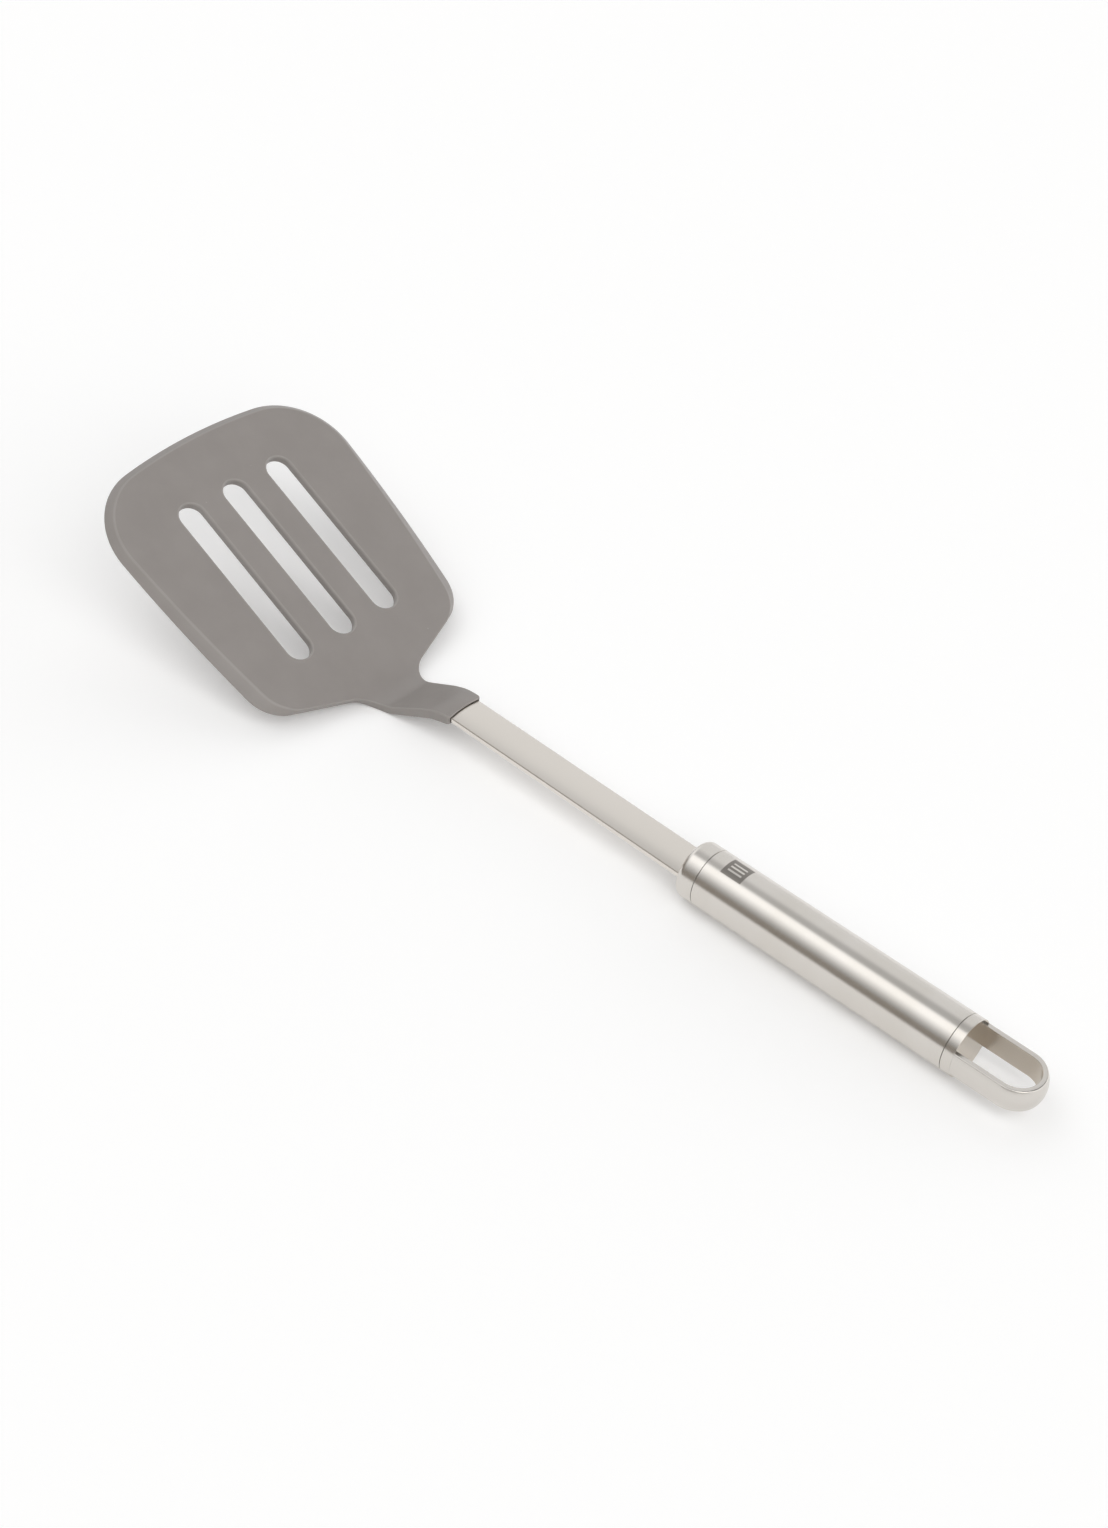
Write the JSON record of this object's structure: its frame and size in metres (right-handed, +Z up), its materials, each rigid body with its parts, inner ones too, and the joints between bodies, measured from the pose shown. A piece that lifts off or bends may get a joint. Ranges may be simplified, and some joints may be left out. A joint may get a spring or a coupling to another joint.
{
  "type": "slotted turner",
  "caption": "Slotted kitchen turner with a flexible silicone blade on a flat steel shank, a round steel tube handle and a strip loop for hanging.",
  "frame": {"origin": "on the surface that the turner lies on, below the middle of its bounding box", "axes": "+X from the blade to the hanging loop along the handle, +Y across the blade, +Z up"},
  "size_m": [0.3298, 0.0942, 0.0472],
  "materials": {
    "silicone": "matte moulded food silicone, warm grey",
    "core": "moulded nylon, hidden",
    "shank_steel": "satin stainless steel, brushed along its length",
    "handle_steel": "satin stainless steel with a fine brushed grain",
    "loop_steel": "satin stainless steel strip",
    "braze": "silver braze, hidden"
  },
  "bodies": {
    "root": {"silicone_blade": "silicone", "blade_core": "core", "shank": "shank_steel", "shank_braze": "braze", "front_cap": "handle_steel", "handle_tube": "handle_steel", "rear_cap": "handle_steel", "hanging_loop": "loop_steel"}
  },
  "joints": []
}
